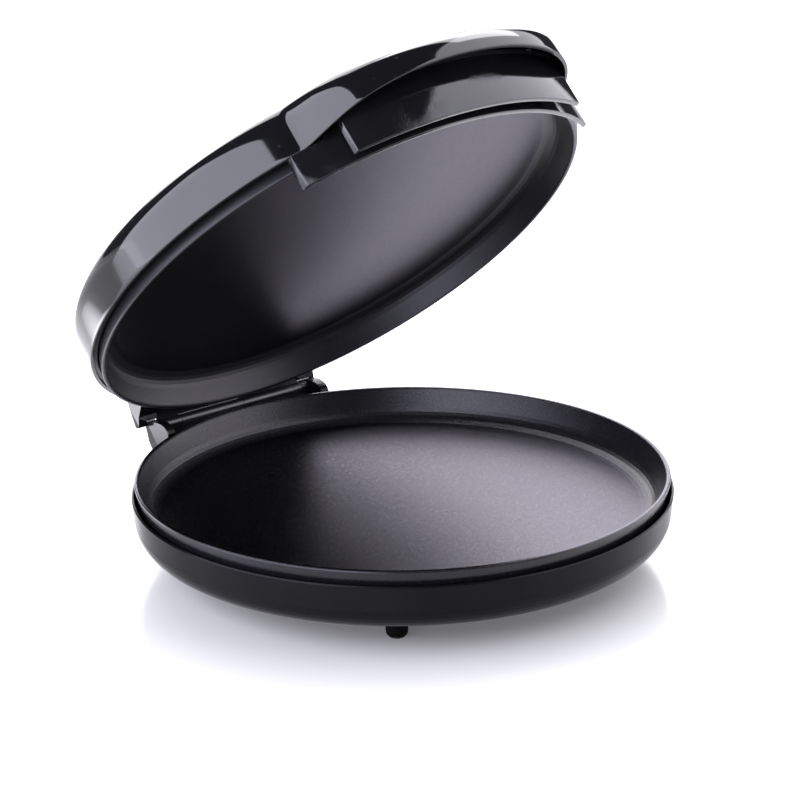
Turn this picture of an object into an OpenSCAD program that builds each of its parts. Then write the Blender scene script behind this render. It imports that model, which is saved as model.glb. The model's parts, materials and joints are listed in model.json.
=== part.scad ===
// Electric pizza maker: two round non-stick pans, one in a moulded base and
// one in a domed lid, joined by a barrel hinge at the back.
// Lengths are in millimetres. The table is z = 0 and the front faces -Y.
// The lid is modelled shut and then swung open about the hinge pin.

/* [Pans] */
// Outer radius of both pan rims
pan_r = 160; // [156:1:166]
// How far the side wall leans in from the rim to the cooking floor
pan_lean = 9.5; // [7:0.5:13]
// Depth of the lower pan below its rim
lower_pan_depth = 20; // [14:0.5:22]
// Depth of the upper pan behind its rim
upper_pan_depth = 18.5; // [14:0.5:22]
// Thickness of the pan floors
pan_floor_t = 3; // [2.5:0.1:4]
// Width of the flat lip on the pan rims
pan_lip_w = 3; // [2.6:0.1:4]
// Radius between cooking floor and side wall
pan_fillet = 8; // [4:1:12]
// Thickness of the side wall where it meets the floor
pan_foot_wall = 4.5; // [3.5:0.1:5]
// Gap between the two rims when the lid is shut
rim_gap = 0.5; // [0.3:0.1:1.5]

/* [Base] */
// Height of the feet
foot_h = 17.5; // [12:0.5:24]
// Height from the underside of the base to the lower pan's rim
base_h = 38; // [36:0.5:46]
// How far the base shell stands outside the pan rim
shell_reach = 2; // [1.6:0.1:4]
// Height of pan wall that shows above the base shell
rim_show = 8.6; // [6:0.2:11]
// Wall thickness of the base shell
shell_wall = 2.5; // [2:0.1:3]
// Radius of the base shell's bottom edge
shell_round = 17; // [12:1:22]
// How far the shell's side leans in towards the bottom
shell_draft = 1.2; // [0:0.2:3]
// Distance of the feet from the centre
foot_pitch_r = 119.5; // [100:0.5:128]
// Angle of the front feet from straight ahead
foot_angle = 42; // [25:1:60]
// Diameter of a foot where it meets the base
foot_top_d = 15; // [14:0.5:18]
// Diameter of a foot near the table
foot_tip_d = 12.8; // [12:0.1:14]

/* [Lid cover] */
// How far the lid cover stands outside the pan rim
cover_reach = 4; // [3.4:0.1:6]
// Wall thickness of the lid cover
cover_wall = 2.5; // [2:0.1:2.8]
// Height of pan wall that shows below the lid cover
lid_rim_show = 7.2; // [6:0.2:10]
// Height of the cover's upright skirt
skirt_h = 16.8; // [14:0.2:24]
// Height of the dome above the skirt
dome_h = 29; // [26:1:40]
// Fullness of the dome's shoulder
dome_power = 3; // [2.6:0.1:3.6]
// Radius of the window for the pilot light
pilot_r = 6; // [4:0.5:9]

/* [Handle] */
// How far the brow over the handle stands out from the cover
brow_reach = 27; // [24:1:32]
// Half of the angle that the brow spans
brow_half_angle = 36.5; // [35.5:0.5:42]
// How far the brow's edge arches up in the middle
brow_rise = 7.8; // [4:0.1:9]
// How far the brow's top drops below the dome it grows from
brow_droop = 4; // [2:0.5:6]
// Thickness of both visors
visor_t = 3.2; // [2.4:0.1:3.6]
// Running gap between the lower visor and the base shell
visor_clear = 0.8; // [0.5:0.1:1.4]
// Clear space between the two visors
visor_space = 6.2; // [4:0.1:7]
// Half of the angle that the lower visor spans
lower_visor_angle = 39; // [36:0.5:42]
// Half of the angle that the upper visor spans
upper_visor_angle = 28; // [20:0.5:28.5]
// How far the lower visor hangs below the base pan's rim
lower_visor_drop = 12.5; // [9:0.5:18]
// How far the upper visor hangs below the base pan's rim
upper_visor_drop = 11.5; // [9:0.5:18]

/* [Hinge] */
// Distance of the hinge pin behind the pan rim
hinge_back = 7; // [6.9:0.1:9]
// Height of the base rim above the hinge pin
hinge_drop = 0.7; // [0:0.1:1.5]
// Diameter of the hinge pin
pin_d = 4; // [3.6:0.1:4.4]
// Diameter of the hinge barrels
barrel_d = 7; // [6.4:0.1:7.6]
// Radius of the two lobes' ends, round the pin
lobe_r = 4.2; // [3.9:0.1:4.5]
// Width of each lobe
lobe_w = 7.5; // [6:0.5:9]
// How high the lobes' crest rises above the pin
lobe_crest = 4.8; // [4.5:0.1:5]
// Width of each of the lid's two hinge arms
arm_w = 14; // [10:0.5:18]
// Distance of each lobe's inner side from the middle
lobe_x = 58.5; // [56:0.5:62]
// Where the two middle barrels meet, to the right of the middle
seam_x = 5.6; // [0:0.1:12]
// Left end of the base's barrel
barrel_left_x = -42.6; // [-46:0.1:-38]
// Right end of the lid's barrel
barrel_right_x = 53; // [48:0.1:55]
// Thickness of the sheet steel hinge leaves
leaf_t = 1.8; // [1.2:0.1:2]
// Radial running clearance of moving bores on the pin
run_clear = 0.07; // [0.03:0.01:0.1]

/* [Heating] */
// Radius of the ring that a heating element follows
element_ring_r = 96; // [88:1:104]
// Diameter of a heating element's tube
element_d = 6; // [5:0.1:6.5]
// How far the heat shields reach outside the heating elements
shield_margin = 2; // [1:0.5:4]
// Distance between a pan and its heat shield
shield_drop = 7.7; // [7.5:0.1:8.5]
// Thickness of the heat shields
shield_t = 0.6; // [0.4:0.1:1]

/* [Cord inlet] */
// Radius of the cord's way through its gland
cord_r = 3.7; // [3:0.1:4.2]
// Distance of the gland from the middle, to the left
gland_x = 30; // [26:1:34]

/* [Pose] */
// How far the lid stands open
open_angle = 45.8; // [0:0.2:90]

/* [Hidden] */
$fn = 96;

seat = 0.05;                       // gap that keeps touching curved faces apart
fit = 0.3;                         // gap between pieces that only lie close
tap = 0.1;                         // gap round a screw in its pilot hole

rim_z = foot_h + base_h;
floor_in_z = foot_h + shell_wall;
shell_top_z = rim_z - rim_show;
shell_r = pan_r + shell_reach;
shell_in_r = shell_r - shell_wall;
floor_r = pan_r - pan_lean;
lower_under_z = rim_z - lower_pan_depth - pan_floor_t;
lid_rim_z = rim_z + rim_gap;
upper_back_z = lid_rim_z + upper_pan_depth + pan_floor_t;
pan_edge_round = 1.3;

cover_r = pan_r + cover_reach;
cover_in_r = cover_r - cover_wall;
cover_z = lid_rim_z + lid_rim_show;
shoulder_z = cover_z + skirt_h;
dome_z = shoulder_z + dome_h;

hinge_y = pan_r + hinge_back;
hinge_z = rim_z - hinge_drop;
pin_r = pin_d / 2;
lobe_far_x = lobe_x + lobe_w;
pin_end = lobe_far_x - 2.5;        // the pin stops inside blind bores
pin_seat = 0.02;
knuckle_gap = 0.35;
arm_clear = 0.8;

lower_visor_r = shell_r + visor_clear;
upper_visor_r = lower_visor_r + visor_t + visor_space;
ring_t = 2;
ring_r = cover_in_r - fit;
pan_screw_r = floor_r - 15.5;
ring_inner_r = pan_screw_r - 9;
ring_plate_z = upper_back_z;
shelf_t = 2.5;
shelf_z = ring_plate_z - 1.5;
shield_boss_d = 8;
shield_boss_gap = 3;
shield_boss_r = element_ring_r - element_d / 2 - shield_boss_gap - shield_boss_d / 2;
shield_r = element_ring_r + element_d / 2 + shield_margin;
clip_w = 10;
clip_t = 0.8;

module placed() { translate([0, -frame_y, 0]) children(); }
module opened() {
    placed() translate([0, hinge_y, hinge_z]) rotate([-open_angle, 0, 0])
        translate([0, -hinge_y, -hinge_z]) children();
}

// ---- curves ----
function bend(a, b, c, n = 6) = [for (i = [0:n]) let (t = i / n)
    (1 - t) * (1 - t) * a + 2 * t * (1 - t) * b + t * t * c];
function toward(a, b, d) = a + (b - a) * d / norm(b - a);
function on_ring(r, a, z = 0) = [r * sin(a), -r * cos(a), z];

module about(r, angles, z = 0) {
    for (a = angles) rotate([0, 0, a]) translate([0, -r, z]) children();
}
quarters = [0, 90, 180, 270];
diagonals = [45, 135, 225, 315];
foot_places = [foot_angle, -foot_angle, 180 - foot_angle, 180 + foot_angle];

// a tube or rod along X
module rod_x(x0, x1, r) {
    translate([x0, 0, 0]) rotate([0, 90, 0]) cylinder(r = r, h = x1 - x0);
}
module at_hinge() { translate([0, hinge_y, hinge_z]) children(); }

// pan-head screw: head below z = 0, shank up
module screw(head_r, head_h, shank_r, length) {
    translate([0, 0, -head_h]) difference() {
        cylinder(r = head_r, h = head_h);
        for (a = [0, 90]) rotate([0, 0, a])
            translate([-head_r * 0.6, -0.4, -1]) cube([head_r * 1.2, 0.8, 1 + head_h * 0.4]);
    }
    cylinder(r = shank_r, h = length);
}

// insulated wire swept through a list of points
function unit(v) = v / norm(v);
function heading(points, i) = unit(
    (i > 0 ? unit(points[i] - points[i - 1]) : [0, 0, 0])
    + (i < len(points) - 1 ? unit(points[i + 1] - points[i]) : [0, 0, 0]));
function frames(points, side, i = 0) = i == len(points) ? [] :
    let (t = heading(points, i), n = unit(side - (side * t) * t))
    concat([[n, cross(t, n)]], frames(points, n, i + 1));
wire_sides = 10;
module wire(points, d) {
    f = frames(points, [0.7, 0.5, 0.6]);
    n = wire_sides;
    last = len(points) - 1;
    polyhedron(
        points = [for (i = [0:last]) for (k = [0:n - 1]) let (a = 360 * k / n)
            points[i] + d / 2 * (cos(a) * f[i][0] + sin(a) * f[i][1])],
        faces = concat(
            [[for (k = [0:n - 1]) k]],
            [[for (k = [n - 1:-1:0]) last * n + k]],
            [for (i = [0:last - 1]) for (k = [0:n - 1]) let (a = i * n, l = (k + 1) % n)
                for (face = [[a + k, a + n + k, a + n + l], [a + k, a + n + l, a + l]]) face]));
}

// ---- pans: rim at z = 0, opening upwards ----
module pan_body(depth) {
    corner = [floor_r, -depth];
    wall_top = [pan_r - pan_lip_w, -pan_edge_round];
    under = [floor_r + pan_foot_wall, -depth - pan_floor_t];
    outer_top = [pan_r, -pan_edge_round];
    rotate_extrude($fn = 180) polygon(concat(
        [[0, -depth]],
        bend([floor_r - pan_fillet, -depth], corner, toward(corner, wall_top, pan_fillet)),
        bend(wall_top, [wall_top[0], 0], [wall_top[0] + pan_edge_round, 0], 3),
        bend([pan_r - pan_edge_round, 0], [pan_r, 0], outer_top, 3),
        bend(toward(under, outer_top, 5), under, under - [5, 0], 4),
        [[0, -depth - pan_floor_t]]));
}
module pan(depth) {
    difference() {
        union() {
            pan_body(depth);
            about(shield_boss_r, quarters, -depth - pan_floor_t - shield_drop)
                cylinder(d = shield_boss_d, h = shield_drop + 0.5);
        }
        about(shield_boss_r, quarters, -depth - pan_floor_t - shield_drop - 1)
            cylinder(r = 1.5 + tap, h = 8);
        about(pan_screw_r, quarters, -depth - pan_floor_t - 1)
            cylinder(r = 1.7 + tap, h = 1 + pan_floor_t * 0.75);
    }
}

// ---- heating parts: the pan's back face at z = 0, everything below it ----
element_z = -element_d / 2 - seat;
element_gap_angle = 10;
sleeve_length = 7;                 // plain end of an element past its ring
terminal_length = 5;
terminal_d = 2.4;
terminal_r = element_ring_r + sleeve_length + terminal_length;
module element() {
    translate([0, 0, element_z]) {
        rotate([0, 0, 90 + element_gap_angle]) rotate_extrude(angle = 360 - 2 * element_gap_angle, $fn = 180)
            translate([element_ring_r, 0]) circle(d = element_d, $fn = 32);
        for (s = [-1, 1]) rotate([0, 0, s * element_gap_angle]) translate([0, element_ring_r, 0]) {
            sphere(d = element_d, $fn = 32);
            rotate([-90, 0, 0]) cylinder(d = element_d, h = sleeve_length, $fn = 32);
            rotate([-90, 0, 0]) cylinder(d = terminal_d, h = sleeve_length + terminal_length, $fn = 24);
        }
    }
}
clip_seat = seat + clip_w * clip_w / (8 * element_ring_r);    // room for the ring's bend
module element_clips() {
    rivet_x = element_d / 2 + 6;
    about(element_ring_r, diagonals, element_z) {
        rotate([0, 0, 90]) difference() {
            union() {
                rotate([90, 0, 0]) cylinder(d = element_d + 2 * (clip_t + clip_seat), h = clip_w, center = true);
                translate([-rivet_x - 3, -clip_w / 2, -element_z - clip_t])
                    cube([2 * rivet_x + 6, clip_w, clip_t]);
            }
            rotate([90, 0, 0]) cylinder(d = element_d + 2 * clip_seat, h = clip_w + 1, center = true);
            translate([-20, -clip_w, -element_z]) cube([40, 2 * clip_w, 10]);
            translate([-element_d / 2 - clip_seat, -clip_w, 0]) cube([element_d + 2 * clip_seat, 2 * clip_w, 10]);
        }
        rotate([0, 0, 90]) for (s = [-1, 1]) translate([s * rivet_x, 0, -element_z - clip_t - 0.9])
            cylinder(r = 1.9, h = 0.9, $fn = 24);
    }
}
shield_lip = shield_drop - element_d - 4 * seat;
shield_hole_r = 11;
module heat_shield() {
    translate([0, 0, -shield_drop]) difference() {
        rotate_extrude($fn = 180) polygon([
            [shield_hole_r, -shield_t], [shield_r, -shield_t], [shield_r + shield_lip * 0.5, shield_lip],
            [shield_r + shield_lip * 0.5 - shield_t, shield_lip], [shield_r - shield_t, 0],
            [shield_hole_r, 0]]);
        about(shield_boss_r, quarters, -1) cylinder(r = 1.9, h = 2);
    }
}
shield_screw_grip = 5;
module shield_screws() {
    about(shield_boss_r, quarters, -shield_drop - shield_t) screw(3.2, 1.6, 1.5, shield_t + shield_screw_grip);
}

// ---- base ----
shell_top_t = 1.1;                 // thickness of the shell's thinned top edge
shell_thin_h = 2.6;
shell_side = [shell_r - shell_draft, foot_h + shell_round];
shell_bend = shell_side - [shell_round, 0];
shell_flat_r = shell_bend[0];      // the shell's floor is flat inside this radius
module shell_outside() {
    rotate_extrude($fn = 180) polygon(concat(
        [[0, foot_h]],
        [for (a = [-90:10:0]) shell_bend + shell_round * [cos(a), sin(a)]],
        [[shell_r, shell_top_z - 0.8], [shell_r - 0.6, shell_top_z], [0, shell_top_z]]));
}
module shell_inside() {
    rotate_extrude($fn = 180) polygon(concat(
        [[0, floor_in_z]],
        [for (a = [-90:10:0]) shell_bend + (shell_round - shell_wall) * [cos(a), sin(a)]],
        [[shell_in_r, shell_top_z - shell_thin_h], [shell_r - shell_top_t, shell_top_z],
         [shell_r - shell_top_t, shell_top_z + 1], [0, shell_top_z + 1]]));
}
foot_boss_top = lower_under_z - shield_drop - shield_t - fit;
foot_boss_h = foot_boss_top - floor_in_z;
gland_z = foot_h + 10.5;
gland_r = 6.5;
gland_pad_y = shell_r + 0.4;
leaf_low_z = gland_z + 13;
leaf_face_y = hinge_y - barrel_d / 2;      // front face of the base leaf
leaf_x1 = lobe_x - knuckle_gap;
leaf_x0 = -leaf_x1;
leaf_screw_grip = 3.8;
base_screw_x = [leaf_x0 + 7, (leaf_x0 + leaf_x1) / 2, leaf_x1 - 9];
// a lobe's outline about the pin: a round end, a crest in front of it and a
// straight back that runs down into the shell
function lobe_point(a) = lobe_r * [cos(a), sin(a)];
lobe_foot = leaf_low_z - hinge_z - 8;
lobe_outline = concat(
    [lobe_point(-35), [lobe_r / 3, -9], [-8, lobe_foot], [-21, lobe_foot], [-21, -8], [-18.2, -5]],
    bend([-17.6, -2.5], [-16.2, lobe_crest], [-7, lobe_crest]),
    bend([-7, lobe_crest], [-3, lobe_crest], lobe_point(102), 3),
    [[0, 0]]);
module at_side(s, x, w) {
    at_hinge() rotate([90, 0, 90]) translate([0, 0, s > 0 ? x : -x - w]) linear_extrude(w) children();
}
// what lies beyond a side at x that leans in by some degrees upwards and forwards
module beyond(s, x, up, ahead) {
    at_hinge() translate([s * x, 0, 0]) rotate([0, -s * up, -s * ahead])
        translate([s > 0 ? 0 : -20, -60, -60]) cube([20, 120, 120]);
}
module lobe(s) {
    difference() {
        at_side(s, lobe_x, lobe_w) {
            circle(r = lobe_r);
            polygon(lobe_outline);
        }
        beyond(s, lobe_far_x, 5, 6);
    }
}
module base_shell() {
    color([0.07, 0.07, 0.075]) placed() difference() {
        union() {
            difference() {
                union() {
                    shell_outside();
                    for (s = [-1, 1]) lobe(s);
                    translate([leaf_x0, shell_r - 14, leaf_low_z])
                        cube([leaf_x1 - leaf_x0, leaf_face_y - shell_r + 14, shell_top_z - leaf_low_z]);
                    translate([-gland_x, shell_r - 14, gland_z]) rotate([-90, 0, 0])
                        cylinder(r = gland_r + 3.2, h = 14 + gland_pad_y - shell_r);
                }
                shell_inside();
                translate([0, 0, shell_top_z - 0.5]) cylinder(r = pan_r + fit + 0.4, h = 30, $fn = 180);
            }
            about(pan_screw_r, quarters, floor_in_z - 0.5)
                cylinder(d = 9, h = lower_under_z - floor_in_z + 0.5);
            about(foot_pitch_r, foot_places, floor_in_z - 0.5) cylinder(d = 8, h = foot_boss_h + 0.5);
        }
        about(pan_screw_r, quarters, foot_h - 1) {
            cylinder(r = 1.7 + 2 * tap, h = 40);
            cylinder(r = 3.8, h = 3);
        }
        about(foot_pitch_r, foot_places, foot_h - 1) cylinder(r = 1.5 + tap, h = 1 + shell_wall + foot_boss_h - 0.8);
        at_hinge() rod_x(-pin_end - fit, pin_end + fit, pin_r + pin_seat);
        translate([-gland_x, shell_r - 20, gland_z]) rotate([-90, 0, 0]) cylinder(r = gland_r + tap, h = 30);
        for (x = base_screw_x) translate([x, leaf_face_y - 9, (leaf_low_z + shell_top_z) / 2])
            rotate([-90, 0, 0]) cylinder(r = 1.4 + tap, h = 12);
    }
}
module lower_pan() {
    color([0.13, 0.13, 0.14]) placed() translate([0, 0, rim_z]) pan(lower_pan_depth);
}
module lower_element() {
    color([0.30, 0.29, 0.28]) placed() translate([0, 0, lower_under_z]) element();
}
module lower_element_clips() {
    color([0.6, 0.6, 0.6]) placed() translate([0, 0, lower_under_z]) element_clips();
}
module lower_heat_shield() {
    color([0.75, 0.76, 0.77]) placed() translate([0, 0, lower_under_z]) heat_shield();
}
module lower_shield_screws() {
    color([0.7, 0.7, 0.7]) placed() translate([0, 0, lower_under_z]) shield_screws();
}
cap_r = 8.2;
cap_h = 5;
module thermostat() {
    color([0.35, 0.2, 0.12]) placed() translate([0, 0, lower_under_z]) {
        translate([0, 0, -0.8 - cap_h]) cylinder(r = cap_r, h = cap_h);
        translate([-18, -5, -0.8]) cube([36, 10, 0.8]);
        for (s = [-1, 1]) {
            translate([s * 14, 0, -1.9]) cylinder(r = 2.4, h = 1.1, $fn = 24);
            translate([-3.1, s > 0 ? cap_r - 0.3 : -cap_r - 5.7, -4.2]) cube([6.2, 6, 0.8]);
        }
    }
}
clamp_size = [19, 6];
clamp_at = [-gland_x, sqrt(pow(shell_flat_r, 2) - pow(gland_x + clamp_size[0] / 2, 2)) - clamp_size[1] / 2];
block_size = [30, 11, 8];
block_at = [-53, clamp_at[1] - clamp_size[1] / 2 - 0.5 - block_size[1]];
fuse_at = [38, block_at[1] + 1];
fuse_r = 2.5;
fuse_lead_x = 14;
fuse_z = fuse_r + 0.7;
module thermal_fuse() {
    color([0.85, 0.84, 0.8]) placed() translate([fuse_at[0], fuse_at[1], floor_in_z]) {
        translate([0, 0, fuse_z]) rod_x(-9, 9, fuse_r);
        translate([0, 0, fuse_z]) rod_x(-fuse_lead_x, fuse_lead_x, 0.6);
    }
}
module fuse_cradle() {
    color([0.8, 0.78, 0.72]) placed() translate([fuse_at[0], fuse_at[1], floor_in_z]) difference() {
        translate([-6, -fuse_r - 1.2, 0]) cube([12, 2 * fuse_r + 2.4, fuse_z]);
        translate([0, 0, fuse_z]) rod_x(-7, 7, fuse_r + seat);
    }
}
block_ways = [5, 15, 25];
block_way_z = 2.6;
module terminal_block() {
    color([0.88, 0.86, 0.8]) placed() translate([block_at[0], block_at[1], floor_in_z]) difference() {
        cube(block_size);
        for (x = block_ways) {
            translate([x, 4, block_size[2] - 4]) cylinder(r = 2.1, h = 5);
            translate([x, -1, block_way_z]) rotate([-90, 0, 0]) cylinder(r = 1.7, h = block_size[1] + 2);
        }
    }
}
module terminal_screws() {
    color([0.75, 0.6, 0.3]) placed() translate([block_at[0], block_at[1], floor_in_z])
        for (x = block_ways) translate([x, 4, block_size[2] - 3.7]) difference() {
            cylinder(r = 2, h = 3.2);
            translate([-3, -0.35, 2.4]) cube([6, 0.7, 1]);
        }
}
gland_length = 7;
module cord_gland() {
    color([0.05, 0.05, 0.05]) placed() translate([-gland_x, gland_pad_y, gland_z]) rotate([-90, 0, 0])
        difference() {
            union() {
                translate([0, 0, -gland_length]) cylinder(r = gland_r, h = gland_length + 1);
                cylinder(r = gland_r + 2, h = 2.4);
                cylinder(r1 = gland_r, r2 = cord_r + 1.2, h = 7);
            }
            translate([0, 0, -gland_length - 1]) cylinder(r = cord_r, h = gland_length + 9);
        }
}
module cord_clamp() {
    color([0.1, 0.1, 0.1]) placed() translate([clamp_at[0], clamp_at[1], floor_in_z]) {
        difference() {
            translate([-clamp_size[0] / 2, -clamp_size[1] / 2, 0]) cube([clamp_size[0], clamp_size[1], gland_z - floor_in_z]);
            translate([0, clamp_size[1], gland_z - floor_in_z]) rotate([90, 0, 0]) cylinder(r = cord_r, h = 2 * clamp_size[1]);
        }
        for (s = [-1, 1]) translate([s * (cord_r + clamp_size[0] / 2) / 2, 0, gland_z - floor_in_z])
            cylinder(r = 1.9, h = 1.5, $fn = 24);
    }
}
wire_d = 2;
wire_join_r = terminal_r - 2;      // where a wire meets an element's terminal
wire_join_z = terminal_d / 2 + seat;
module lower_wiring() {
    z = floor_in_z + wire_d * 0.6 + seat;
    way = [block_at[0] + block_ways[1], block_at[1], floor_in_z + block_way_z];
    side_way = way + [block_ways[2] - block_ways[1], 0, 0];
    fuse_wire_z = floor_in_z + fuse_z;
    cap_z = lower_under_z - 5.4;
    join_z = lower_under_z + element_z - wire_join_z;
    left_join = on_ring(wire_join_r, 180 + element_gap_angle);
    right_join = on_ring(wire_join_r, 180 - element_gap_angle);
    blade_y = cap_r + 1.4;
    color([0.6, 0.12, 0.1]) placed() {
        wire([way + [0, 2, 0], way - [0, 4, 0], [way[0], way[1] - 20, z], [0, blade_y, z],
              [0, blade_y, cap_z]], wire_d);
        wire([[0, -blade_y, cap_z], [0, -blade_y, z], [30, 0, z], [fuse_at[0] + 20, fuse_at[1] - 20, z],
              [fuse_at[0] + 22, fuse_at[1] - 2, z + 1], [fuse_at[0] + fuse_lead_x + 3, fuse_at[1], fuse_wire_z],
              [fuse_at[0] + fuse_lead_x + seat, fuse_at[1], fuse_wire_z]], wire_d);
        wire([[fuse_at[0] - fuse_lead_x - seat, fuse_at[1], fuse_wire_z],
              [fuse_at[0] - fuse_lead_x - 2, fuse_at[1], fuse_wire_z],
              right_join + [0, 0, fuse_wire_z - 1], right_join + [0, 0, join_z]], wire_d);
        wire([side_way + [0, 2, 0], side_way - [0, 3, 0], left_join + [0, 0, side_way[2]],
              left_join + [0, 0, join_z]], wire_d);
    }
}
foot_edge = 3;
pad_r = 4.6;
pad_t = 2.2;
pad_proud = 0.5;
screw_head_r = 3.1;
module feet() {
    color([0.05, 0.05, 0.05]) placed() about(foot_pitch_r, foot_places, 0) difference() {
        rotate_extrude() polygon(concat(
            [[0, pad_proud]],
            bend([foot_tip_d / 2 - foot_edge, pad_proud], [foot_tip_d / 2, pad_proud],
                 [foot_tip_d / 2, pad_proud + foot_edge], 5),
            [[foot_top_d / 2, foot_h], [0, foot_h]]));
        translate([0, 0, -1]) cylinder(r = pad_r + tap, h = pad_t + 1);
        translate([0, 0, -1]) cylinder(r = screw_head_r + tap, h = foot_h - 5.5 + 1);
        cylinder(r = 1.5 + tap, h = foot_h + 1);
    }
}
module foot_pads() {
    color([0.1, 0.1, 0.1]) placed() about(foot_pitch_r, foot_places, 0) cylinder(r = pad_r, h = pad_t);
}
module foot_screws() {
    color([0.65, 0.65, 0.66]) placed() about(foot_pitch_r, foot_places, foot_h - 5.5)
        screw(screw_head_r, 1.8, 1.5, 5.5 + shell_wall + foot_boss_h - 1.4);
}
module pan_screws() {
    color([0.65, 0.65, 0.66]) placed() about(pan_screw_r, quarters, foot_h + 2)
        screw(3.4, 1.8, 1.7, lower_under_z - foot_h - 2 + pan_floor_t * 0.6);
}

// ---- hinge ----
module barrel(x0, x1, clear) {
    at_hinge() difference() {
        rod_x(x0, x1, barrel_d / 2);
        rod_x(x0 - 1, x1 + 1, pin_r + clear);
    }
}
end_knuckle_x = barrel_right_x + knuckle_gap;
module base_hinge_leaf() {
    color([0.08, 0.08, 0.085]) placed() {
        barrel(barrel_left_x, seam_x, pin_seat);
        barrel(end_knuckle_x, leaf_x1, pin_seat);
        difference() {
            union() {
                difference() {
                    translate([leaf_x0, leaf_face_y, leaf_low_z])
                        cube([leaf_x1 - leaf_x0, leaf_t, hinge_z - 1.8 - leaf_low_z]);
                    at_hinge() rod_x(leaf_x0 - 1, leaf_x1 + 1, barrel_d / 2 + fit);
                }
                translate([barrel_left_x, leaf_face_y, hinge_z - barrel_d / 2 - 1]) cube([seam_x - barrel_left_x, leaf_t, barrel_d / 2 + 1]);
                translate([end_knuckle_x, leaf_face_y, hinge_z - barrel_d / 2 - 1]) cube([leaf_x1 - end_knuckle_x, leaf_t, barrel_d / 2 + 1]);
            }
            at_hinge() rod_x(leaf_x0 - 1, leaf_x1 + 1, pin_r + pin_seat);
            for (x = base_screw_x) translate([x, leaf_face_y - 1, (leaf_low_z + shell_top_z) / 2])
                rotate([-90, 0, 0]) cylinder(r = 1.4 + 2 * tap, h = 5);
        }
    }
}
module base_hinge_screws() {
    color([0.1, 0.1, 0.1]) placed() for (x = base_screw_x)
        translate([x, leaf_face_y + leaf_t, (leaf_low_z + shell_top_z) / 2]) rotate([90, 0, 0])
            screw(2.8, 1.5, 1.4, leaf_t + leaf_screw_grip);
}
module hinge_pin() {
    color([0.7, 0.71, 0.72]) placed() at_hinge() rod_x(-pin_end, pin_end, pin_r);
}
lid_leaf_y = hinge_y - leaf_t / 2 - 0.6;    // front face of the lid leaf
lid_leaf_z0 = cover_z + 1.5;
lid_leaf_z1 = shoulder_z - 1;
lid_leaf_x0 = -lobe_x + knuckle_gap;
lid_leaf_x1 = barrel_right_x;
lid_screw_x = [lid_leaf_x0 + 9, (lid_leaf_x0 + lid_leaf_x1) / 2, lid_leaf_x1 - 9];
lid_screw_z = (lid_leaf_z0 + lid_leaf_z1) / 2;
left_knuckle_x = barrel_left_x - knuckle_gap;
module lid_hinge_leaf() {
    color([0.08, 0.08, 0.085]) opened() {
        barrel(lid_leaf_x0, left_knuckle_x, run_clear);
        barrel(seam_x + knuckle_gap, barrel_right_x, run_clear);
        difference() {
            union() {
                translate([lid_leaf_x0, lid_leaf_y, hinge_z + barrel_d / 2 + fit])
                    cube([lid_leaf_x1 - lid_leaf_x0, leaf_t, lid_leaf_z1 - hinge_z - barrel_d / 2 - fit]);
                translate([lid_leaf_x0, lid_leaf_y, hinge_z + 2]) cube([left_knuckle_x - lid_leaf_x0, leaf_t, barrel_d / 2]);
                translate([seam_x + knuckle_gap, lid_leaf_y, hinge_z + 2]) cube([barrel_right_x - seam_x - knuckle_gap, leaf_t, barrel_d / 2]);
            }
            at_hinge() rod_x(lid_leaf_x0 - 1, lid_leaf_x1 + 1, pin_r + run_clear);
            for (x = lid_screw_x) translate([x, lid_leaf_y - 1, lid_screw_z])
                rotate([-90, 0, 0]) cylinder(r = 1.4 + 2 * tap, h = 5);
        }
    }
}
module lid_hinge_block() {
    color([0.03, 0.03, 0.035]) opened() difference() {
        translate([lid_leaf_x0, cover_r - 14, lid_leaf_z0])
            cube([lid_leaf_x1 - lid_leaf_x0, lid_leaf_y - cover_r + 14, lid_leaf_z1 - lid_leaf_z0 - 0.5]);
        translate([0, 0, lid_leaf_z0 - 1]) cylinder(r = cover_r + seat, h = 40, $fn = 180);
        for (x = lid_screw_x) translate([x, lid_leaf_y - 8, lid_screw_z])
            rotate([-90, 0, 0]) cylinder(r = 1.4 + tap, h = 10);
    }
}
module lid_hinge_screws() {
    color([0.1, 0.1, 0.1]) opened() for (x = lid_screw_x) translate([x, lid_leaf_y + leaf_t, lid_screw_z])
        rotate([90, 0, 0]) screw(2.8, 1.5, 1.4, leaf_t + (abs(x) < 20 ? 0.6 : 4));
}
// the outline of a hinge arm about the pin, with the lid shut: it runs back from
// the cover and down to a rounded tip beside the lobe
arm_top = cover_z + 12 - hinge_z;
arm_front = cover_r - hinge_y - 20;
arm_outline = concat(
    [[arm_front, arm_top], [arm_front, arm_top - 3.2], [-9.6, 11], [-3.5, 7.3]],
    bend([-0.6, 3.8], [1.4, 1.2], [3.4, 3.6], 4),
    [[3.7, 4.8], [1.8, 11.3], [0, 17], [-1.1, arm_top]]);
function arm_in_x(s) = s > 0 ? end_knuckle_x : lobe_x;
module lid_lug(s) {
    color([0.03, 0.03, 0.035]) opened() difference() {
        at_side(s, arm_in_x(s), arm_w) polygon(arm_outline);
        beyond(s, arm_in_x(s) + arm_w, 0, 7.5);
        translate([0, 0, cover_z - 20]) cylinder(r = cover_r + seat, h = 60, $fn = 180);
        at_hinge() rod_x(s > 0 ? 0 : -lobe_far_x - knuckle_gap, s > 0 ? lobe_far_x + knuckle_gap : 0, lobe_r + arm_clear);
    }
}
module lid_lug_left() { lid_lug(-1); }
module lid_lug_right() { lid_lug(1); }

// ---- lid cover: an upright skirt and a full dome, drawn out into a brow ----
skirt_steps = [0, 0.3, 0.65];
dome_steps = [0, 3, 8, 15, 24, 34, 45, 57, 69, 80];
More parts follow.
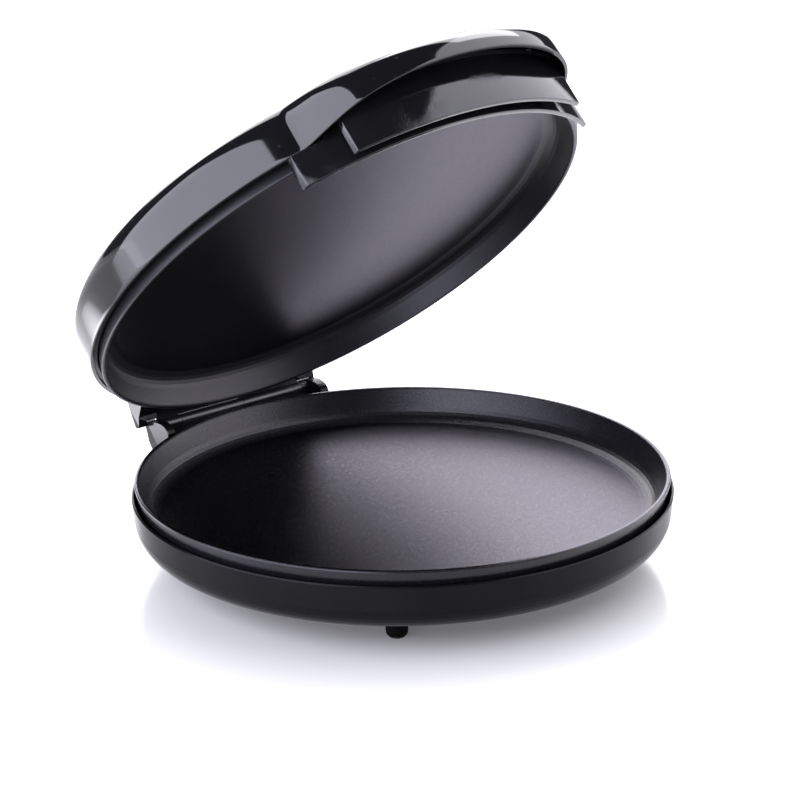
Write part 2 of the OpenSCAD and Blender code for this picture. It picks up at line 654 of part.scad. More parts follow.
// points of the plain cover from the skirt's edge to the pilot window, for a
// given radius, shoulder and top
function dome_curve(r, top) = concat(
    [for (t = skirt_steps) [r, cover_z + t * skirt_h]],
    [for (a = concat(dome_steps, [acos(pow(pilot_r / r, dome_power / 2))]))
        [r * pow(cos(a), 2 / dome_power), shoulder_z + (top - shoulder_z) * pow(sin(a), 2 / dome_power)]]);
dome_outer = dome_curve(cover_r, dome_z);
dome_inner = dome_curve(cover_in_r, dome_z - cover_wall);
// height of the dome's inner face at a radius
function dome_inner_z(r) = shoulder_z + (dome_z - cover_wall - shoulder_z)
    * pow(1 - pow(r / cover_in_r, dome_power), 1 / dome_power);
// how strongly the brow pushes out (0 to 1) at an angle from the front
function brow_out(a) = let (u = min(1, abs(a) / brow_half_angle)) pow(1 - pow(u, 4.9), 1.65);
function brow_up(a) = let (u = min(1, abs(a) / brow_half_angle)) pow(1 - pow(u, 2.4), 2.3);
// how much of that reaches a height z, and how much of the arch does
function brow_height(z) = 1 - pow(1 - max(0, min(1, (dome_z - z) / (dome_z - cover_z))), 3.9);
function arch_height(z) = max(0, 1 - (z - cover_z) / (skirt_h + 10));
function cover_point(p, a) = let (out = brow_out(a) * brow_height(p[1]), arch = arch_height(p[1]))
    on_ring(p[0] + brow_reach * out, a, p[1] + brow_rise * brow_up(a) * arch - brow_droop * out * (1 - arch));
front_step = 1.75;
side_count = 56;
front_half = 42;
cover_angles = concat([for (a = [-front_half:front_step:front_half]) a],
                      [for (i = [1:side_count - 1]) front_half + i * (360 - 2 * front_half) / side_count]);
module lid_cover() {
    loop = concat(dome_outer, [for (i = [len(dome_inner) - 1:-1:0]) dome_inner[i]]);
    m = len(loop);
    n = len(cover_angles);
    color([0.02, 0.02, 0.025]) opened() polyhedron(
        points = [for (a = cover_angles) for (p = loop) cover_point(p, a)],
        faces = [for (i = [0:n - 1]) for (j = [0:m - 1]) let (k = (i + 1) % n, l = (j + 1) % m)
            for (f = [[i * m + j, i * m + l, k * m + l], [i * m + j, k * m + l, k * m + j]]) f]);
}

// ---- lid frame and visors ----
pillar_d = 10;
pillar_top_z = dome_inner_z(pan_screw_r + pillar_d / 2) - fit;
shelf_inner_angle = 32;
module band(r0, r1, z0, z1, half_angle) {
    translate([0, 0, z0]) rotate([0, 0, -90 - half_angle])
        rotate_extrude(angle = 2 * half_angle, $fn = 180) translate([r0, 0]) square([r1 - r0, z1 - z0]);
}
// a band whose ends are cut straight, front to back
module visor_band(r, z0, half_angle) {
    end_x = (r + visor_t) * sin(half_angle);
    intersection() {
        band(r, r + visor_t, z0, shelf_z, half_angle + 4);
        translate([-end_x, -r - visor_t - 1, z0 - 1]) cube([2 * end_x, r + visor_t + 1, shelf_z - z0 + 2]);
    }
}
module lid_ring() {
    color([0.06, 0.06, 0.065]) opened() difference() {
        union() {
            rotate_extrude($fn = 180) polygon([
                [ring_inner_r, ring_plate_z], [ring_r - ring_t, ring_plate_z],
                [ring_r - ring_t, cover_z + 1.5], [ring_r, cover_z + 1.5],
                [ring_r, ring_plate_z + ring_t], [ring_inner_r, ring_plate_z + ring_t]]);
            band(ring_r - 0.5, lower_visor_r + visor_t, shelf_z, shelf_z + shelf_t, shelf_inner_angle);
            band(ring_r - 0.5, upper_visor_r + visor_t, shelf_z, shelf_z + shelf_t, upper_visor_angle - 1);
            about(pan_screw_r, diagonals, ring_plate_z + ring_t - 0.5)
                cylinder(d = pillar_d, h = pillar_top_z - ring_plate_z - ring_t + 0.5);
        }
        about(pan_screw_r, quarters, ring_plate_z - 1) cylinder(r = 1.7 + 2 * tap, h = 5);
        for (r = [lower_visor_r, upper_visor_r]) about(r + visor_t / 2, [-20, 0, 20], shelf_z - 1)
            cylinder(r = 0.9 + tap, h = 5, $fn = 24);
    }
}
visor_screw_r = 0.9;
module visor_holes(r) {
    about(r + visor_t / 2, [-20, 0, 20], shelf_z - 6) cylinder(r = visor_screw_r + tap, h = 7, $fn = 24);
}
module lower_visor() {
    z0 = rim_z - lower_visor_drop;
    z1 = cover_z - fit;
    color([0.03, 0.03, 0.035]) opened() difference() {
        visor_band(lower_visor_r, z0, lower_visor_angle);
        for (s = [-1, 1]) rotate([0, 0, s * (shelf_inner_angle + 10)])
            band(lower_visor_r - 2, lower_visor_r + visor_t + 2, z1, shelf_z + 1, 10.5);
        visor_holes(lower_visor_r);
    }
}
module upper_visor() {
    z0 = rim_z - upper_visor_drop;
    color([0.03, 0.03, 0.035]) opened() difference() {
        visor_band(upper_visor_r, z0, upper_visor_angle);
        visor_holes(upper_visor_r);
    }
}
module visor_screws() {
    color([0.65, 0.65, 0.66]) opened()
        for (r = [lower_visor_r, upper_visor_r]) about(r + visor_t / 2, [-20, 0, 20], shelf_z + shelf_t)
            rotate([180, 0, 0]) screw(1.9, 1.2, visor_screw_r, shelf_t + 5.5);
}
module upper_pan() {
    color([0.13, 0.13, 0.14]) opened() translate([0, 0, lid_rim_z]) mirror([0, 0, 1]) pan(upper_pan_depth);
}
module behind_upper_pan() { opened() translate([0, 0, upper_back_z]) mirror([0, 0, 1]) children(); }
module upper_element() { color([0.30, 0.29, 0.28]) behind_upper_pan() element(); }
module upper_element_clips() { color([0.6, 0.6, 0.6]) behind_upper_pan() element_clips(); }
module upper_heat_shield() { color([0.75, 0.76, 0.77]) behind_upper_pan() heat_shield(); }
module upper_shield_screws() { color([0.7, 0.7, 0.7]) behind_upper_pan() shield_screws(); }
module ring_screws() {
    color([0.65, 0.65, 0.66]) opened() about(pan_screw_r, quarters, ring_plate_z + ring_t)
        rotate([180, 0, 0]) screw(3.4, 1.8, 1.7, ring_t + pan_floor_t * 0.6);
}

// ---- pilot light in the middle of the dome ----
lamp_z = upper_back_z + shield_drop + shield_t;
module pilot_lens() {
    color([0.8, 0.1, 0.05]) opened() {
        translate([0, 0, dome_z - cover_wall - 2]) cylinder(r = pilot_r - fit, h = cover_wall + 2.4);
        translate([0, 0, dome_z - cover_wall - 2]) cylinder(r = pilot_r + 2, h = 1.4);
    }
}
module pilot_lamp() {
    color([0.9, 0.6, 0.4]) opened() {
        translate([0, 0, lamp_z]) difference() {
            cylinder(r = pilot_r + 8, h = 2);
            translate([0, 0, -1]) cylinder(r = 2, h = 4);
        }
        translate([0, 0, lamp_z + 2]) cylinder(r = 2.6, h = dome_z - cover_wall - 3 - lamp_z - 2, $fn = 24);
    }
}
module upper_wiring() {
    z = upper_back_z - element_z + wire_join_z;
    over_z = lamp_z + 4.5;
    color([0.6, 0.12, 0.1]) opened() for (s = [-1, 1])
        wire([on_ring(wire_join_r, 180 - s * element_gap_angle, z),
              on_ring(wire_join_r, 180 - s * element_gap_angle, over_z),
              [s * 6, 24, over_z], [s * 5, 12, over_z], [s * 5, 5, lamp_z + 3.3]], wire_d);
}

// the frame's origin is on the table, midway between the front of the base
// and the back of the opened lid
function swing_y(y, z) = hinge_y + (y - hinge_y) * cos(open_angle) + (z - hinge_z) * sin(open_angle);
frame_y = (max([for (p = dome_outer) swing_y(p[0], p[1])]) - shell_r) / 2;

base_shell();
lower_pan();
lower_element();
lower_element_clips();
lower_heat_shield();
lower_shield_screws();
thermostat();
thermal_fuse();
fuse_cradle();
terminal_block();
terminal_screws();
cord_gland();
cord_clamp();
lower_wiring();
feet();
foot_pads();
foot_screws();
pan_screws();
base_hinge_leaf();
base_hinge_screws();
hinge_pin();
lid_cover();
lid_ring();
lower_visor();
upper_visor();
visor_screws();
upper_pan();
upper_element();
upper_element_clips();
upper_heat_shield();
upper_shield_screws();
ring_screws();
lid_lug_left();
lid_lug_right();
lid_hinge_block();
lid_hinge_leaf();
lid_hinge_screws();
pilot_lens();
pilot_lamp();
upper_wiring();
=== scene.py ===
"""Looks of a round electric pizza maker with a hinged lid. Lengths are in metres."""

import json
import math

import bmesh
import bpy
from mathutils import Matrix, Vector


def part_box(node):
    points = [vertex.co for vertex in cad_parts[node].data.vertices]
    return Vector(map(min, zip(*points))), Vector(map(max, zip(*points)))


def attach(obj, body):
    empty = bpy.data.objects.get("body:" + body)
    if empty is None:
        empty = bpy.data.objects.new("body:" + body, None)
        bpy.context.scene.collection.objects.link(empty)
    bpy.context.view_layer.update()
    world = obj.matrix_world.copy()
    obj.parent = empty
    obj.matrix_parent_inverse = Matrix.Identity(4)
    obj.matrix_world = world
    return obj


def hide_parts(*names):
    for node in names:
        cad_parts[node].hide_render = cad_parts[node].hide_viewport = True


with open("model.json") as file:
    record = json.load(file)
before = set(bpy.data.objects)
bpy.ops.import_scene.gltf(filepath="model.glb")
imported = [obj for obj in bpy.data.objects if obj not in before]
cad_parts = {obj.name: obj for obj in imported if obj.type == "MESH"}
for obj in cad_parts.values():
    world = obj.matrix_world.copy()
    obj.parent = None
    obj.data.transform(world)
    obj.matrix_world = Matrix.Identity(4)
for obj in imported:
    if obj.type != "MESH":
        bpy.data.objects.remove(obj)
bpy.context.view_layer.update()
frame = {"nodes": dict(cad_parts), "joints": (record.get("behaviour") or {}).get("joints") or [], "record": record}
nodes = frame["nodes"]
scene = bpy.context.scene

mm = 0.001
degree = math.pi / 180

# ---- places taken from the frame ----
hinge = frame["joints"][0]
hinge_at = Vector(hinge["pos_m"])
open_angle = -hinge["range_deg"][0] * degree
opening = (
    Matrix.Translation(hinge_at)
    @ Matrix.Rotation(-open_angle, 4, "X")
    @ Matrix.Translation(-hinge_at)
)
shell_low, shell_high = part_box("base_shell")
base_y = shell_low.y + shell_high.x


def shut_box(node):
    """The box of a lid node with the lid shut."""
    back = opening.inverted()
    points = [back @ v.co for v in nodes[node].data.vertices]
    low = Vector([min(p[i] for p in points) for i in range(3)])
    high = Vector([max(p[i] for p in points) for i in range(3)])
    return low, high


def towards(azimuth, elevation):
    """The direction at an azimuth right of the front and an elevation, in degrees."""
    a, e = azimuth * degree, elevation * degree
    return Vector((math.sin(a) * math.cos(e), -math.cos(a) * math.cos(e), math.sin(e)))


# ---- camera ----
camera_distance = 1.8
camera_azimuth = -39.883
camera_elevation = 21.774
camera_roll = -0.826
camera_reach = 50
aim_right = -0.000857
aim_height = 0.100227
focal_px = 2976.4
picture_px = 800
sensor_mm = 36


def place_camera():
    away = towards(camera_azimuth, camera_elevation)
    side = camera_azimuth * degree
    aim = Vector((math.cos(side), math.sin(side), 0)) * aim_right + Vector((0, 0, aim_height))
    ahead = (aim - away * camera_distance).normalized()
    right = ahead.cross(Vector((0, 0, 1))).normalized()
    up = right.cross(ahead)
    c, s = math.cos(camera_roll * degree), math.sin(camera_roll * degree)
    right, up = right * c + up * s, up * c - right * s
    camera = bpy.data.objects.new("camera", bpy.data.cameras.new("camera"))
    scene.collection.objects.link(camera)
    axes = Matrix((right, up, -ahead)).transposed()
    at = Vector((0, base_y, 0)) + away * camera_distance
    camera.matrix_world = Matrix.Translation(at) @ axes.to_4x4()
    camera.data.lens = focal_px / picture_px * sensor_mm
    camera.data.sensor_width = sensor_mm
    camera.data.clip_end = camera_reach
    scene.camera = camera


place_camera()


# ---- material nodes ----
class Value:
    """A socket of a finish. Arithmetic on it adds Math nodes."""

    def __init__(self, finish, socket):
        self.finish = finish
        self.socket = socket

    def math(self, operation, a, b):
        return self.finish.node("ShaderNodeMath", {"operation": operation}, {0: a, 1: b})

    def __add__(self, other):
        return self.math("ADD", self, other)

    def __sub__(self, other):
        return self.math("SUBTRACT", self, other)

    def __rsub__(self, other):
        return self.math("SUBTRACT", other, self)

    def __mul__(self, other):
        return self.math("MULTIPLY", self, other)

    __radd__ = __add__
    __rmul__ = __mul__


class Finish:
    """One material, with its Principled shader and the nodes that feed it."""

    def __init__(self, name, **fixed):
        self.material = bpy.data.materials.new(name)
        self.material.use_nodes = True
        self.tree = self.material.node_tree
        self.shader = self.tree.nodes["Principled BSDF"]
        self.place = self.node("ShaderNodeTexCoord", out="Object")
        self.set(**fixed)

    def set(self, **values):
        for name, value in values.items():
            self.feed(self.shader.inputs[name.replace("_", " ")], value)

    def feed(self, socket, value):
        """Links a value to a socket, or sets the socket to a number, vector or colour."""
        if isinstance(value, Value):
            self.tree.links.new(value.socket, socket)
        else:
            socket.default_value = (*value, 1) if socket.type == "RGBA" else value

    def node(self, kind, settings=None, sockets=None, out=0):
        """Adds a node with its settings, feeds its sockets and gives one of its outputs."""
        made = self.tree.nodes.new(kind)
        for name, value in (settings or {}).items():
            if name == "stops":
                self.set_stops(made.color_ramp, value)
            else:
                setattr(made, name, value)
        for name, value in (sockets or {}).items():
            self.feed(made.inputs[name], value)
        return Value(self, made.outputs[out])

    def set_stops(self, ramp, stops):
        """Gives a colour ramp its stops, each a position and a grey."""
        while len(ramp.elements) < len(stops):
            ramp.elements.new(0.5)
        for element, (position, grey) in zip(ramp.elements, stops):
            element.position = position
            element.color = (grey, grey, grey, 1)

    def noise(self, size, detail=3, roughness=0.5, stretch=(1, 1, 1)):
        """Soft noise from 0 to 1, with spots of about the given size."""
        where = self.node("ShaderNodeMapping", {}, {"Vector": self.place, "Scale": stretch})
        return self.node(
            "ShaderNodeTexNoise", {},
            {"Vector": where, "Scale": 1 / size, "Detail": detail, "Roughness": roughness})

    def spots(self, size, share, softness=0.06):
        """1 in scattered round spots of the given pitch, over a share of the cells, else 0."""
        spot_r = 0.22
        cell = {"Vector": self.place, "Scale": 1 / size}
        near = self.node("ShaderNodeTexVoronoi", {}, cell, out="Distance")
        middle = self.node("ShaderNodeTexVoronoi", {}, cell, out="Position")
        lot = self.node("ShaderNodeTexWhiteNoise", {}, {"Vector": middle})
        picked = self.ramp(lot, share, share + 0.001, 1, 0)
        return self.ramp(near, spot_r, spot_r + softness, 1, 0) * picked

    def ramp(self, value, low, high, to_low=0.0, to_high=1.0):
        """Maps a value from low..high to to_low..to_high and holds it at the ends."""
        return self.node(
            "ShaderNodeMapRange", {},
            {"Value": value, "From Min": low, "From Max": high,
             "To Min": to_low, "To Max": to_high})

    def spread(self, noise, to_low, to_high):
        """Maps the part of a noise where most of it lies to to_low..to_high."""
        return self.ramp(noise, 0.3, 0.7, to_low, to_high)

    def blend(self, factor, a, b):
        """The colour a where factor is 0 and b where it is 1."""
        return self.node("ShaderNodeMix", {"data_type": "RGBA"}, {0: factor, 6: a, 7: b}, out=2)

    def coordinate(self, axis):
        return self.node("ShaderNodeSeparateXYZ", {}, {0: self.place}, out=axis)

    def measure(self, operation, a, b):
        """The number that a Vector Math node makes of two vectors."""
        return self.node(
            "ShaderNodeVectorMath", {"operation": operation}, {0: a, 1: b}, out="Value")

    def bump(self, height, depth, strength=1.0):
        """Feeds a height to the surface as fine relief of the given depth."""
        self.set(Normal=self.node(
            "ShaderNodeBump", {},
            {"Strength": strength, "Distance": depth, "Height": height}))
        return self


# ---- finishes ----
def piano_black():
    """The lid's glossy cover, with a slight haze and a little dust."""
    f = Finish("piano_black", Specular_IOR_Level=0.52)
    haze = f.noise(45 * mm, 4)
    dust = f.spots(3.5 * mm, 0.05)
    f.set(
        Base_Color=f.blend(dust * 0.1, (0.004, 0.004, 0.005), (0.09, 0.09, 0.10)),
        Roughness=f.spread(haze, 0.045, 0.085) + dust * 0.05,
    )
    return f.bump(f.noise(12 * mm, 2), 0.012 * mm)


def blade_black():
    """The handle's blades, crumbly in places and smooth between them."""
    f = Finish("blade_black", Specular_IOR_Level=0.6, Specular_Tint=(0.93, 0.94, 1))
    grain = f.noise(1.6 * mm, 4, 0.75)
    patch = f.noise(20 * mm, 3)
    crumbly = f.ramp(f.noise(30 * mm, 2), 0.46, 0.60, 0.3, 1.6)
    f.set(
        Base_Color=f.blend(patch, (0.003, 0.003, 0.004), (0.007, 0.007, 0.008)),
        Roughness=f.ramp(patch, 0.35, 0.65, 0.03, 0.06),
    )
    return f.bump(grain * crumbly, 0.1 * mm, 0.7)


def satin_black():
    """The base shell. The outer side of its left hinge lobe is polished by handling."""
    lobe_side_x = -63 * mm
    lobe_front_y = 134 * mm
    f = Finish("satin_black", Specular_IOR_Level=0.09, Coat_Roughness=0.15, Coat_IOR=1.6)
    grain = f.noise(0.6 * mm, 3)
    cloud = f.noise(30 * mm, 4)
    outer = f.ramp(f.coordinate("X"), lobe_side_x, lobe_side_x - 0.5 * mm, 0, 0.5)
    behind = f.ramp(f.coordinate("Y"), lobe_front_y, lobe_front_y + 2 * mm)
    f.set(
        Coat_Weight=outer * behind,
        Base_Color=f.blend(cloud, (0.002, 0.002, 0.003), (0.005, 0.005, 0.006)),
        Roughness=f.spread(grain, 0.17, 0.24),
    )
    return f.bump(grain, 0.02 * mm, 0.5)


def inner_black():
    """The moulded frame inside the lid."""
    f = Finish("inner_black")
    cloud = f.noise(20 * mm, 4)
    f.set(
        Base_Color=f.blend(cloud, (0.010, 0.010, 0.011), (0.022, 0.022, 0.024)),
        Roughness=f.spread(cloud, 0.26, 0.36),
    )
    return f.bump(f.noise(0.8 * mm, 3), 0.03 * mm)


def non_stick(name, face, painted_face_colour, rough, depth, smooth_rim=False):
    """A dark coating on aluminium. Its cooking face, which looks along face, is given a lighter colour and turns
    metallic: painted light that stands in for light thrown onto that face.

    With smooth_rim, the outside of the base pan's rim is smoother than the rest.
    """
    rim_r = 157 * mm
    rim_z = 50 * mm
    f = Finish(name, Specular_IOR_Level=0.36, Specular_Tint=(0.95, 0.93, 1))
    normal = f.node("ShaderNodeTexCoord", out="Normal")
    # painted light: the cooking face, picked by its direction, gets a lighter colour and turns metallic
    painted_face = f.ramp(f.measure("DOT_PRODUCT", normal, face), 0.90, 0.98)
    grain = f.noise(1.0 * mm, 4, 0.65)
    flake = f.spots(0.9 * mm, 0.14, 0.2)
    wall = f.blend(f.noise(50 * mm, 3), (0.004, 0.004, 0.005), (0.007, 0.007, 0.009))
    roughness = f.spread(grain, rough, rough + 0.14) - flake * 0.03
    if smooth_rim:
        reach = f.measure("DISTANCE", f.place, (0, base_y, rim_z))
        roughness = roughness - f.ramp(reach, rim_r, rim_r + 1 * mm, 0, 0.16)
    f.set(
        Metallic=painted_face,
        Base_Color=f.blend(flake * 0.15, f.blend(painted_face, wall, painted_face_colour), (0.09, 0.09, 0.10)),
        Roughness=roughness,
    )
    return f.bump(grain, depth, 0.8)


def hinge_black():
    """The blackened hinge leaves and barrels, worn grey in spots."""
    f = Finish("hinge_black", Specular_IOR_Level=0.7)
    peel = f.noise(1.2 * mm, 3)
    wear = f.ramp(f.noise(6 * mm, 4), 0.62, 0.7)
    f.set(
        Base_Color=f.blend(wear, (0.006, 0.006, 0.007), (0.02, 0.02, 0.021)),
        Roughness=f.spread(peel, 0.32, 0.40),
    )
    return f.bump(peel, 0.008 * mm, 0.6)


def bright_metal(name, colour, rough, stretch):
    """Bare or plated metal with fine streaks across the given stretch."""
    f = Finish(name, Metallic=1.0)
    streak = f.noise(2 * mm, 4, 0.6, stretch)
    f.set(
        Base_Color=f.blend(streak, tuple(c * 0.85 for c in colour), colour),
        Roughness=f.spread(streak, rough * 0.8, rough * 1.25),
    )
    return f.bump(streak, 0.01 * mm)


def element_sheath():
    """The heating elements' tubes, browned by heat."""
    f = Finish("element_sheath", Metallic=0.9)
    heat = f.noise(20 * mm, 4)
    f.set(
        Base_Color=f.blend(heat, (0.10, 0.085, 0.075), (0.23, 0.20, 0.17)),
        Roughness=f.spread(heat, 0.35, 0.55),
    )
    return f.bump(f.noise(0.7 * mm, 3), 0.02 * mm)


def dull(name, colour, rough, grain, depth, shine=0.5):
    """A plain moulded or woven finish with a fine grain and slightly uneven colour."""
    f = Finish(name, Specular_IOR_Level=shine)
    cloud = f.noise(grain * 12, 4)
    f.set(
        Base_Color=f.blend(cloud, tuple(c * 0.8 for c in colour), colour),
        Roughness=f.spread(cloud, rough * 0.85, rough * 1.15),
    )
    return f.bump(f.noise(grain, 3), depth)


def red_lens():
    """The pilot light's moulded lens."""
    f = Finish("red_lens", Transmission_Weight=0.6, IOR=1.49)
    ripple = f.noise(0.9 * mm, 2)
    f.set(
        Base_Color=f.blend(ripple, (0.5, 0.02, 0.01), (0.7, 0.05, 0.03)),
        Roughness=f.spread(ripple, 0.06, 0.16),
    )
    return f.bump(ripple, 0.06 * mm)


lid_face = opening.to_3x3() @ Vector((0, 0, -1))
base_face = Vector((0, 0, 1))
finishes = {
    "lid_gloss": piano_black(),
    "blade_gloss": blade_black(),
    "base_plastic": satin_black(),
    "inner_plastic": inner_black(),
    # painted light: the lid's coating gets a lighter cooking face colour than the base pan's coating
    "nonstick": non_stick(
        "non_stick_lid", lid_face, (0.058, 0.056, 0.062), 0.30, 0.08 * mm),
    "nonstick_base": non_stick(
        "non_stick_base", base_face, (0.024, 0.023, 0.026), 0.24, 0.14 * mm, smooth_rim=True),
    "hinge_black": hinge_black(),
    "bright_steel": bright_metal("zinc_steel", (0.62, 0.62, 0.63), 0.3, (1, 1, 1)),
    "bright_sheet": bright_metal("rolled_sheet", (0.72, 0.73, 0.74), 0.32, (0.2, 3, 1)),
    "fuse_metal": bright_metal("fuse_can", (0.70, 0.70, 0.70), 0.28, (0.3, 1, 1)),
    "brass": bright_metal("turned_brass", (0.72, 0.52, 0.24), 0.3, (1, 1, 4)),
    "element_sheath": element_sheath(),
    "foot_plastic": dull("foot_plastic", (0.002, 0.002, 0.002), 0.6, 0.7 * mm, 0.03 * mm, 0.05),
    "rubber": dull("rubber", (0.022, 0.022, 0.022), 0.75, 0.6 * mm, 0.05 * mm),
    "block_plastic": dull("natural_nylon", (0.62, 0.60, 0.54), 0.5, 1 * mm, 0.02 * mm),
    "thermostat_body": dull("phenolic", (0.10, 0.045, 0.02), 0.35, 1 * mm, 0.02 * mm),
    "wire_cover": dull("glass_fibre_sleeve", (0.42, 0.05, 0.035), 0.8, 0.5 * mm, 0.1 * mm),
    "lens": red_lens(),
    "lamp": dull("neon_lamp", (0.75, 0.42, 0.22), 0.25, 2 * mm, 0.01 * mm),
}
own_finish = {"lower_pan": "nonstick_base"}
node_crease = 30
piece_crease = 35


def dress(thing, finish):
    """Gives an object one finish."""
    thing.data.materials.clear()
    thing.data.materials.append(finishes[finish].material)


def dress_nodes():
    for part in frame["record"]["subparts"]:
        node = nodes[part["node"]]
        dress(node, own_finish.get(part["node"], part["material_slot"]))
        node.data.shade_smooth()
        node.data.set_sharp_from_angle(angle=node_crease * degree)


dress_nodes()


# ---- pieces ----
def add_lid_piece(name, bm, finish, replaced):
    """Turns a bmesh, made with the lid shut, into a piece of the lid."""
    bm.transform(opening)
    bmesh.ops.recalc_face_normals(bm, faces=bm.faces)
    mesh = bpy.data.meshes.new(name)
    bm.to_mesh(mesh)
    bm.free()
    mesh.shade_smooth()
    mesh.set_sharp_from_angle(angle=piece_crease * degree)
    piece = bpy.data.objects.new(name, mesh)
    scene.collection.objects.link(piece)
    dress(piece, finish)
    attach(piece, "lid")
    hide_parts(replaced)


def ring_point(r, angle, z):
    """A point at a radius, an angle from the front and a height."""
    return Vector((r * math.sin(angle), base_y - r * math.cos(angle), z))


def sweep(place, rows, columns):
    """Faces over place(row, column), closed round the rows and the columns."""
    bm = bmesh.new()
    grid = [[bm.verts.new(place(i, j)) for i in range(rows)] for j in range(columns)]
    for j in range(columns):
        here, there = grid[j], grid[(j + 1) % columns]
        for i in range(rows):
            k = (i + 1) % rows
            bm.faces.new((here[i], here[k], there[k], there[i]))
    return bm


def arc(centre, r, start, end, steps):
    """Points of an arc in a profile, from a start to an end angle in degrees."""
    return [
        (centre[0] + r * math.cos(a * degree), centre[1] + r * math.sin(a * degree))
        for a in [start + (end - start) * i / steps for i in range(steps + 1)]
    ]


# the cover's form, as in the solid it stands for; angles in degrees
skirt_h = 16.8 * mm
skirt_rows = 8
dome_power = 3
dome_rows = 60
dome_inner_rows = 24
dome_crowding = 1.25
pilot_r = 6 * mm
cover_wall = 2.5 * mm
cover_edge = 0.8 * mm
cover_chamfer = 0.3 * mm
brow_half = 36.5
brow_reach = 26.9 * mm
brow_reach_powers = (4.9, 1.65)
brow_fade_power = 3.9
brow_rise = 7.7 * mm
brow_rise_powers = (2.4, 2.3)
brow_rise_h = skirt_h + 10 * mm
brow_droop = 4 * mm
near_half = 42
near_step = 0.5
wide_columns = 230


def make_cover():
    """The domed cover with its skirt and the flared brow over the handle."""
    low, high = shut_box("lid_cover")
    cover_r, cover_z, dome_z = high.x, low.z, high.z
    shoulder_z = cover_z + skirt_h
    straight = skirt_h - cover_edge

    def dome(r, top, rows):
        last = math.degrees(math.acos((pilot_r / r) ** (dome_power / 2)))
        points = []
        for i in range(rows + 1):
            a = last * (i / rows) ** dome_crowding * degree
            points.append((r * math.cos(a) ** (2 / dome_power),
                           shoulder_z + (top - shoulder_z) * math.sin(a) ** (2 / dome_power)))
        return points

    inner_r = cover_r - cover_wall
    profile = (
        arc((cover_r - cover_edge, cover_z + cover_edge), cover_edge, -90, 0, 4)
        + [(cover_r, cover_z + cover_edge + straight * i / skirt_rows)
           for i in range(1, skirt_rows)]
        + dome(cover_r, dome_z, dome_rows)
        + dome(inner_r, dome_z - cover_wall, dome_inner_rows)[::-1]
        + [(inner_r, cover_z + cover_chamfer), (inner_r + cover_chamfer, cover_z)]
    )
    # the columns lie closer together under the brow
    near_columns = round(2 * near_half / near_step)
    angles = [-near_half + near_step * i for i in range(near_columns + 1)]
    wide_step = (360 - 2 * near_half) / wide_columns
    angles += [near_half + wide_step * (i + 1) for i in range(wide_columns - 1)]

    def hump(u, powers):
        """1 at the middle of the brow and 0 at its ends."""
        return (1 - u ** powers[0]) ** powers[1]

    def place(i, j):
        r, z = profile[i]
        angle = angles[j]
        u = min(1, abs((angle + 180) % 360 - 180) / brow_half)
        level = min(1, max(0, (z - cover_z) / (dome_z - cover_z)))
        out = hump(u, brow_reach_powers) * (1 - level ** brow_fade_power)
        low_down = max(0, 1 - (z - cover_z) / brow_rise_h)
        rise = brow_rise * hump(u, brow_rise_powers) * low_down
        droop = brow_droop * out * (1 - low_down)
        return ring_point(r + brow_reach * out, angle * degree, z + rise - droop)

    bm = sweep(place, len(profile), len(angles))
    add_lid_piece("lid_cover_shell", bm, "lid_gloss", "lid_cover")


# the blades of the handle, as in the solids they stand for; angles in degrees
blade_wall = 3.2 * mm
blade_edge = 0.4 * mm
blade_edge_angle = 40
blade_step = 0.5
blade_end_slant = 0.15
lower_visor_half = 39
upper_visor_half = 28
neck_half = 32
neck_gap = 0.3 * mm


def make_blade(node, half, neck_columns=0, neck_z=None):
    """A curved grip blade with softly rounded edges, and with a neck above neck_z."""
    low, high = shut_box(node)
    outer = base_y - low.y
    inner = outer - blade_wall
    end_column = round(half / blade_step)
    end_x = outer * math.sin(half * degree)
    levels = [low.z, neck_z or high.z, high.z]
    bm = bmesh.new()
    verts = {}

    def vert(column, level, r):
        key = (column, level, r)
        if key not in verts:
            angle = column * blade_step * degree
            if abs(column) == end_column:
                x = end_x + (outer - r) * blade_end_slant
                angle = math.copysign(math.asin(x / r), angle)
            verts[key] = bm.verts.new(ring_point(r, angle, levels[level]))
        return verts[key]

    cells = {(c, 0) for c in range(-end_column, end_column)}
    cells |= {(c, 1) for c in range(-neck_columns, neck_columns)}
    for c, k in cells:
        corners = [(c, k), (c + 1, k), (c + 1, k + 1), (c, k + 1)]
        bm.faces.new([vert(*p, outer) for p in corners])
        bm.faces.new([vert(*p, inner) for p in corners[::-1]])
        beside = [(c, k - 1), (c + 1, k), (c, k + 1), (c - 1, k)]
        for n in range(4):
            if beside[n] not in cells:
                p, q = corners[n], corners[(n + 1) % 4]
                bm.faces.new(
                    [vert(*p, outer), vert(*p, inner), vert(*q, inner), vert(*q, outer)])
    bmesh.ops.recalc_face_normals(bm, faces=bm.faces)
    sharp = [
        e for e in bm.edges
        if len(e.link_faces) == 2 and e.calc_face_angle() > blade_edge_angle * degree
    ]
    bmesh.ops.bevel(
        bm, geom=sharp, offset=blade_edge, segments=3, profile=0.5, affect="EDGES",
        clamp_overlap=True)
    add_lid_piece(node + "_blade", bm, "blade_gloss", node)


make_cover()
make_blade("lower_visor", lower_visor_half, round(neck_half / blade_step),
           shut_box("lid_cover")[0].z - neck_gap)
make_blade("upper_visor", upper_visor_half)


# ---- studio ----
lights_aim = Vector((0, 0, 0.1))
floor_half = 8
floor_glow = 8.0
floor_tint = (0.95, 0.94, 1)
# painted light: the floor's glow at each distance from the middle, low close to the part, which paints shade under
# it
painted_glow_levels = [
    (0.13, 0.014), (0.22, 0.078), (0.32, 0.13), (0.5, 0.13), (0.8, 0.03), (1.2, 0.05), (2.2, 0.12),
]
glow_reach = 2.5
# the painted glow grows sooner on this side, so the painted shade under the part is shorter there
painted_glow_side = (-0.13, 0.11, 0)
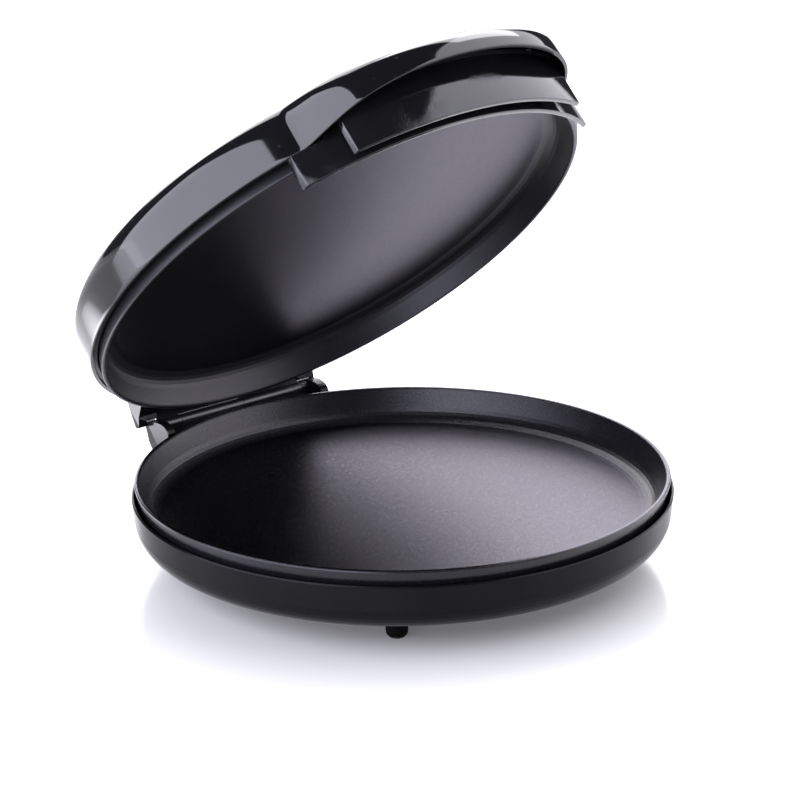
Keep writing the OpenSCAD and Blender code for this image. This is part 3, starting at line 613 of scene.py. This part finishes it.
# painted light: a brighter spot of floor glow beside the hinge, between two radii
painted_spot_at = (-0.30, 0.36, 0)
painted_spot_radii = (0.05, 0.14)
painted_spot_level = 0.8
air_colour = (0.9, 0.93, 1, 1)
air_glow = 0.06


def panel(name, azimuth, elevation, distance, width, height, radiance, tint):
    """A soft light panel that faces the part, from an azimuth right of the front."""
    away = towards(azimuth, elevation)
    data = bpy.data.lights.new(name, "AREA")
    data.shape = "RECTANGLE"
    data.size = width
    data.size_y = height
    data.energy = radiance * math.pi * width * height
    data.color = tint
    light = bpy.data.objects.new(name, data)
    scene.collection.objects.link(light)
    light.location = lights_aim + away * distance
    light.rotation_euler = away.to_track_quat("Z", "Y").to_euler()


def make_floor():
    """A pale floor. Its own glow keeps it white away from the part, paints shade under the part and paints a
    brighter spot beside the hinge.
    """
    w = floor_half
    mesh = bpy.data.meshes.new("floor")
    mesh.from_pydata([(-w, -w, 0), (w, -w, 0), (w, w, 0), (-w, w, 0)], [], [(0, 1, 2, 3)])
    floor = bpy.data.objects.new("floor", mesh)
    scene.collection.objects.link(floor)
    f = Finish(
        "floor", Specular_IOR_Level=0.6, Emission_Strength=floor_glow,
        Base_Color=(0.4, 0.4, 0.4), Roughness=0.16)
    # painted light: the glow rises with distance from the middle, sooner on one side, leaving painted shade under
    # the part
    reach = f.measure("DISTANCE", f.place, (0, 0, 0)) + f.measure("DOT_PRODUCT", f.place, painted_glow_side)
    stops = [(at / glow_reach, grey) for at, grey in painted_glow_levels]
    glow = f.node("ShaderNodeValToRGB", {"stops": stops}, {0: reach * (1 / glow_reach)})
    # painted light: a brighter glowing spot on the floor beside the hinge
    painted_spot = f.ramp(f.measure("DISTANCE", f.place, painted_spot_at), *painted_spot_radii, painted_spot_level, 0)
    f.set(Emission_Color=f.blend(glow + painted_spot, (0, 0, 0), floor_tint))
    mesh.materials.append(f.material)


def make_studio():
    scene.view_settings.view_transform = "Standard"
    make_floor()
    world = bpy.data.worlds.new("studio")
    world.use_nodes = True
    air = world.node_tree.nodes["Background"]
    air.inputs["Color"].default_value = air_colour
    air.inputs["Strength"].default_value = air_glow
    scene.world = world
    panel("left_panel", -92, 20.5, 2.0, 3.7, 2.25, 5.8, (0.86, 0.87, 1))
    panel("right_panel", 62, 31, 2.0, 3.2, 2.5, 3.5, (0.96, 0.94, 1))
    panel("back_panel", 145, 33, 2.6, 2.4, 2.8, 4.3, (0.98, 0.97, 1))
    panel("top_panel", 120, 51, 2.4, 1.9, 1.2, 7, (0.97, 0.98, 1))


make_studio()
